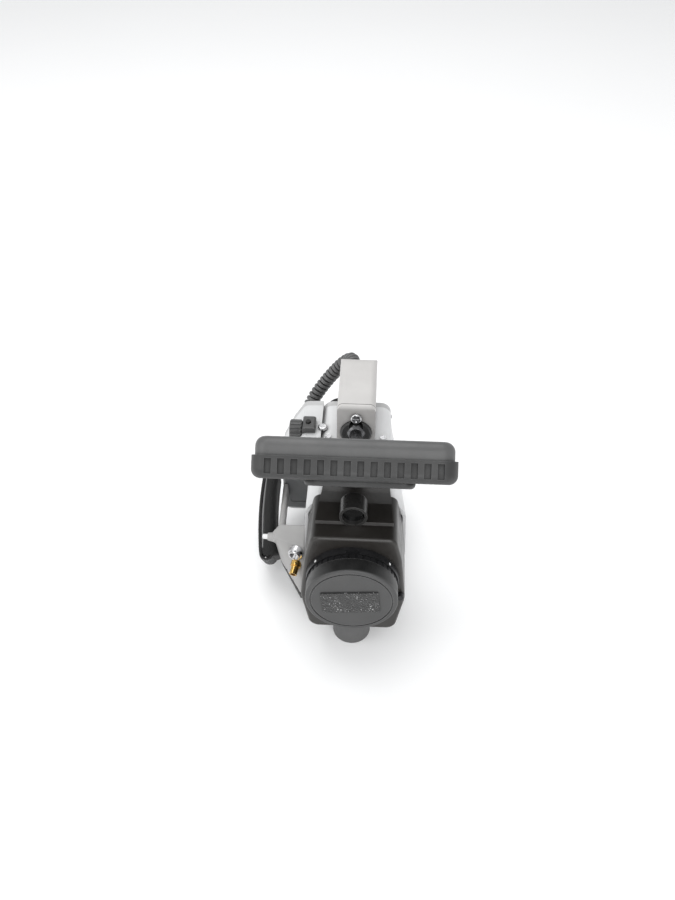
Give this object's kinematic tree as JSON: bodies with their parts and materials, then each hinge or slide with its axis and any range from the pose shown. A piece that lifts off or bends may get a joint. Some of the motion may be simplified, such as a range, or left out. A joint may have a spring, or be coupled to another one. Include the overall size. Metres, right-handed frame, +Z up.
{
  "type": "handheld thermal imaging camera",
  "caption": "Handheld infrared camera with capped lens, side grip with padded hand strap, and a top handle carrying a tilting display wired by a curly cord.",
  "frame": {"origin": "centre of the tripod socket's mouth, in the bottom of the round front foot", "axes": "+X is the operator's left, +Y runs from the lens back to the operator, +Z is up"},
  "size_m": [0.1553, 0.2332, 0.2151],
  "materials": {
    "body_plastic": "fine satin texture",
    "dark_plastic": "fine matte texture",
    "rubber": "matte ribbed",
    "strap_fabric": "woven",
    "black_metal": "black anodised",
    "chrome_metal": "polished",
    "steel": "brushed",
    "brass_metal": "turned",
    "pin_plastic": "polished",
    "glass_clear": "coated",
    "germanium": "polished, coated",
    "electronics": "soldered boards"
  },
  "bodies": {
    "case": {"nose_block": "body_plastic", "camera_tube": "body_plastic", "tripod_foot": "body_plastic", "battery_bay": "body_plastic", "control_housing": "body_plastic", "grip_wing": "body_plastic", "grip_housing": "body_plastic", "rear_cover": "body_plastic", "top_cover": "body_plastic", "left_side_shell": "body_plastic", "right_side_shell": "body_plastic", "handle_frame": "body_plastic", "handle_top_shell": "body_plastic", "base_plate": "dark_plastic", "ball_socket": "dark_plastic", "battery_pack": "dark_plastic", "detector_housing": "dark_plastic", "cord_socket": "dark_plastic", "chassis": "dark_plastic", "rear_feet": "rubber", "curly_cord": "rubber", "cord_plug": "rubber", "cord_boot": "rubber", "hand_strap": "strap_fabric", "lens_barrel": "black_metal", "round_connector": "chrome_metal", "case_screws": "chrome_metal", "coax_jack": "brass_metal", "strap_pin": "pin_plastic", "camera_tube_window": "glass_clear", "front_lens": "germanium", "circuit_boards": "electronics", "infrared_detector": "electronics"},
    "cap": {"lens_cap": "dark_plastic", "cap_patch": "strap_fabric"},
    "focus_grip": {"focus_ring": "black_metal"},
    "focus_cell": {"focus_tube": "black_metal", "rear_lens": "germanium"},
    "lens_lock": {"lens_lock_knob": "black_metal"},
    "shutter": {"shutter_flag": "black_metal"},
    "wheel": {"control_wheel": "rubber"},
    "record_key": {"record_button": "rubber"},
    "key_left": {"handle_key_1": "dark_plastic"},
    "key_right": {"handle_key_2": "dark_plastic"},
    "stick": {"joystick": "rubber"},
    "arm": {"display_arm": "steel"},
    "display": {"display_frame": "dark_plastic", "display_bumper": "rubber", "display_back_cover": "dark_plastic", "display_glass": "glass_clear", "display_module": "electronics", "display_back_screws": "steel", "display_neck": "dark_plastic"},
    "finder": {"viewfinder_tube": "dark_plastic", "eyepiece_lens": "glass_clear", "eyecup": "rubber"},
    "dioptre": {"dioptre_ring": "dark_plastic"},
    "flap": {"side_flap": "body_plastic"},
    "door": {"battery_door": "body_plastic"},
    "latch": {"battery_latch": "dark_plastic"}
  },
  "joints": [
    {"name": "cap_off", "type": "slide", "parent": "case", "child": "cap", "axis": [0, -1, 0], "range_m": [0, 0.03]},
    {"name": "focus_turn", "type": "hinge", "parent": "case", "child": "focus_grip", "pos_m": [0.0005, -0.0236, 0.0873], "axis": [0, -1, 0], "range_deg": [-60, 60]},
    {"name": "focus_move", "type": "slide", "parent": "case", "child": "focus_cell", "axis": [0, 1, 0], "range_m": [-0.0015, 0.0015]},
    {"name": "lens_lock_press", "type": "slide", "parent": "case", "child": "lens_lock", "axis": [0, 1, 0], "range_m": [0, 0.0015], "stiffness_N_per_m": 400},
    {"name": "shutter_swing", "type": "hinge", "parent": "case", "child": "shutter", "pos_m": [0.0195, 0.0298, 0.1023], "axis": [0, -1, 0], "range_deg": [0, 45]},
    {"name": "wheel_turn", "type": "hinge", "parent": "case", "child": "wheel", "pos_m": [-0.0525, 0.109, 0.1256], "axis": [1, 0, 0], "range_deg": [-30, 30]},
    {"name": "record_press", "type": "slide", "parent": "case", "child": "record_key", "axis": [0, 0, -1], "range_m": [0, 0.001], "stiffness_N_per_m": 400},
    {"name": "key_left_press", "type": "slide", "parent": "case", "child": "key_left", "axis": [0, -1, 0], "range_m": [0, 0.001], "stiffness_N_per_m": 400},
    {"name": "key_right_press", "type": "slide", "parent": "case", "child": "key_right", "axis": [0, -1, 0], "range_m": [0, 0.001], "stiffness_N_per_m": 400},
    {"name": "stick_tilt", "type": "hinge", "parent": "case", "child": "stick", "pos_m": [0.0065, 0.1568, 0.158], "axis": [1, 0, 0], "range_deg": [-8, 8], "stiffness_Nm_per_rad": 0.05},
    {"name": "display_tilt", "type": "hinge", "parent": "case", "child": "arm", "pos_m": [-0.0015, 0.092, 0.143], "axis": [-1, 0, 0], "range_deg": [0, 30]},
    {"name": "display_turn", "type": "hinge", "parent": "arm", "child": "display", "pos_m": [-0.0015, 0.092, 0.143], "axis": [0, -0.9804, 0.1969], "range_deg": [-10, 10]},
    {"name": "finder_tilt", "type": "hinge", "parent": "case", "child": "finder", "pos_m": [-0.017, 0.147, 0.095], "axis": [1, 0, 0], "range_deg": [0, 30]},
    {"name": "dioptre_turn", "type": "hinge", "parent": "finder", "child": "dioptre", "pos_m": [-0.017, 0.161, 0.095], "axis": [0, 1, 0], "range_deg": [-45, 45]},
    {"name": "flap_swing", "type": "hinge", "parent": "case", "child": "flap", "pos_m": [0.0371, 0.0999, 0.0545], "axis": [0, 0, -1], "range_deg": [0, 90]},
    {"name": "door_swing", "type": "hinge", "parent": "case", "child": "door", "pos_m": [0.0008, 0.1394, 0.0045], "axis": [-1, 0, 0], "range_deg": [0, 90]},
    {"name": "latch_slide", "type": "slide", "parent": "door", "child": "latch", "axis": [0, 0, -1], "range_m": [0, 0.002]}
  ],
  "couplings": [
    {"joint": "focus_move", "follows": "focus_turn", "m_per_rad": 0.00143}
  ]
}
